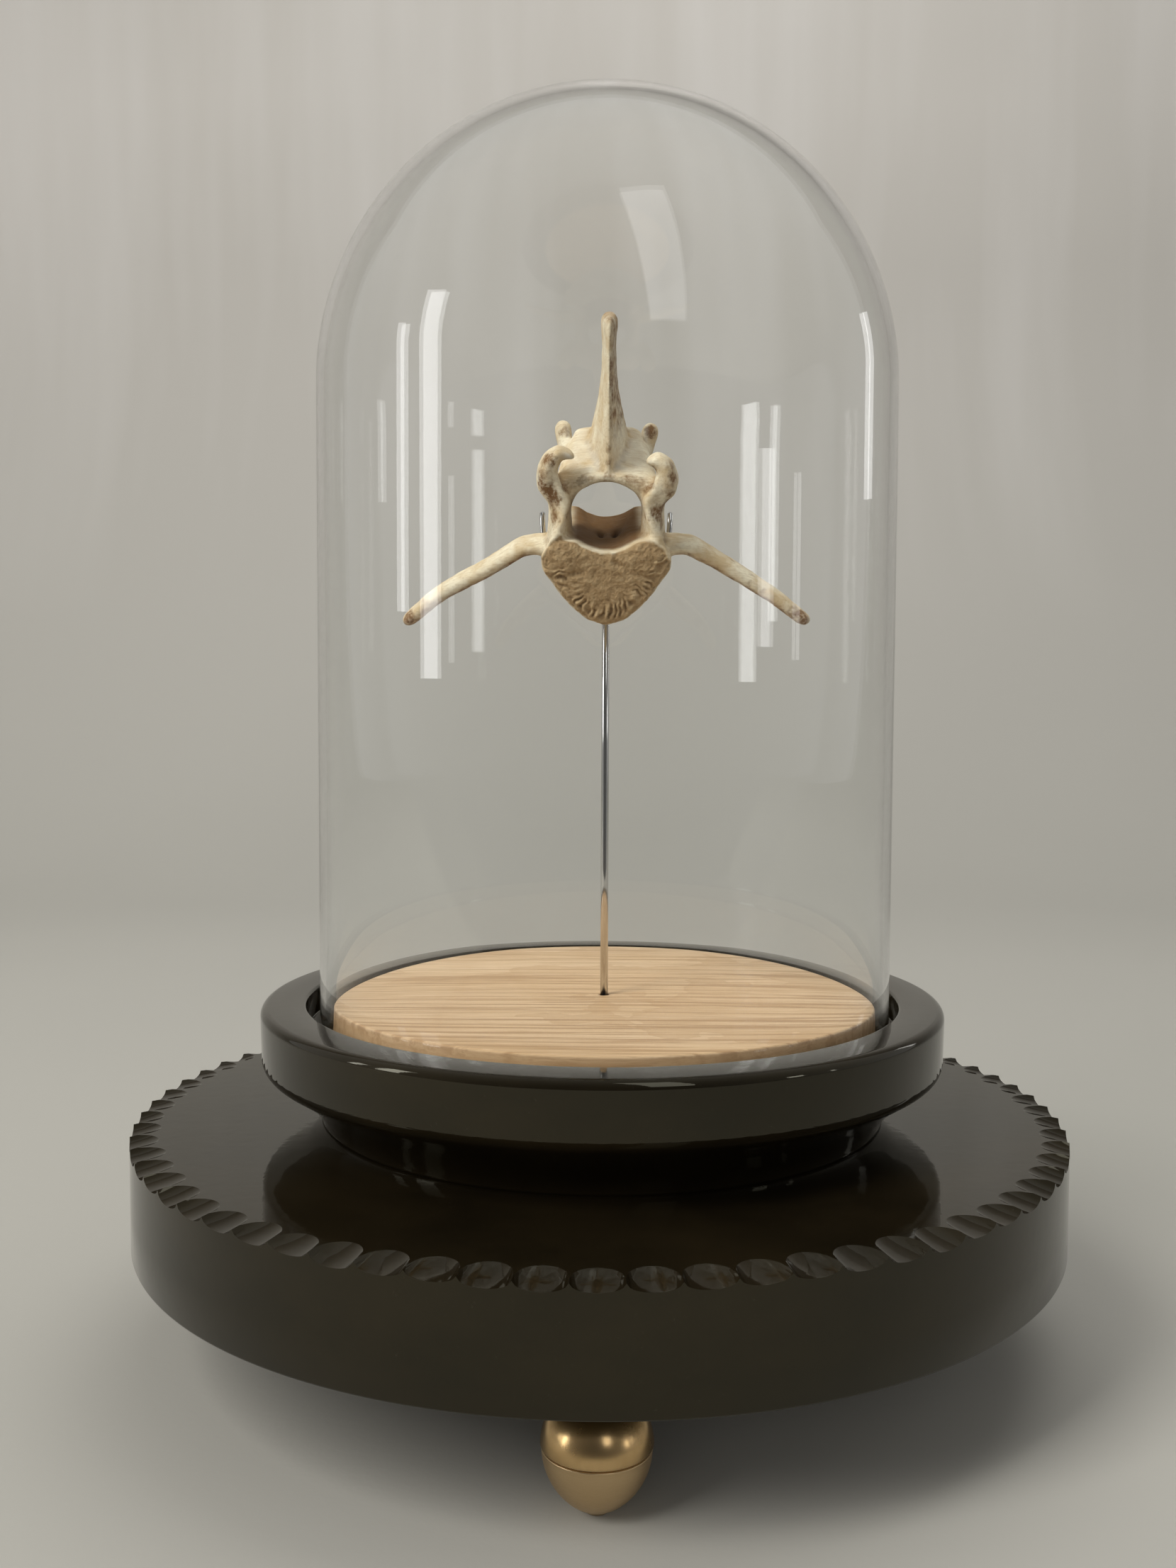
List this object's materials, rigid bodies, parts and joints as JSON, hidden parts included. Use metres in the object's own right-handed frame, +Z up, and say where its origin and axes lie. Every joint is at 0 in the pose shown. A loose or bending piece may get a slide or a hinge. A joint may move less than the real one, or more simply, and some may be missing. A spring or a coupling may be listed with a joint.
{
  "type": "mounted deer lumbar vertebra in glass dome",
  "caption": "Lumbar vertebra of a deer held on a thin steel rod above a wooden disc, under a glass dome on a black turned base and a carved-edge plinth with brass ball feet",
  "frame": {"origin": "On the floor under the middle of the stand, between the three feet.", "axes": "+Z up. The cranial end of the vertebra and the front foot face -Y. +X is to the right seen from the front."},
  "size_m": [0.24, 0.24, 0.3175],
  "materials": {
    "bone": "dry cream bone with brown stains, grey-brown on the cranial growth surface",
    "black_lacquer": "glossy black lacquer on turned wood",
    "pale_wood": "pale straight-grained wood, satin",
    "clear_glass": "clear blown glass",
    "steel": "polished steel",
    "brass": "polished above the seam, satin below"
  },
  "bodies": {
    "root": {"vertebra": "bone", "rod": "steel", "wood_disc": "pale_wood", "glass_dome": "clear_glass", "dome_base": "black_lacquer", "plinth": "black_lacquer", "foot_front": "brass", "foot_back_left": "brass", "foot_back_right": "brass"}
  },
  "joints": []
}
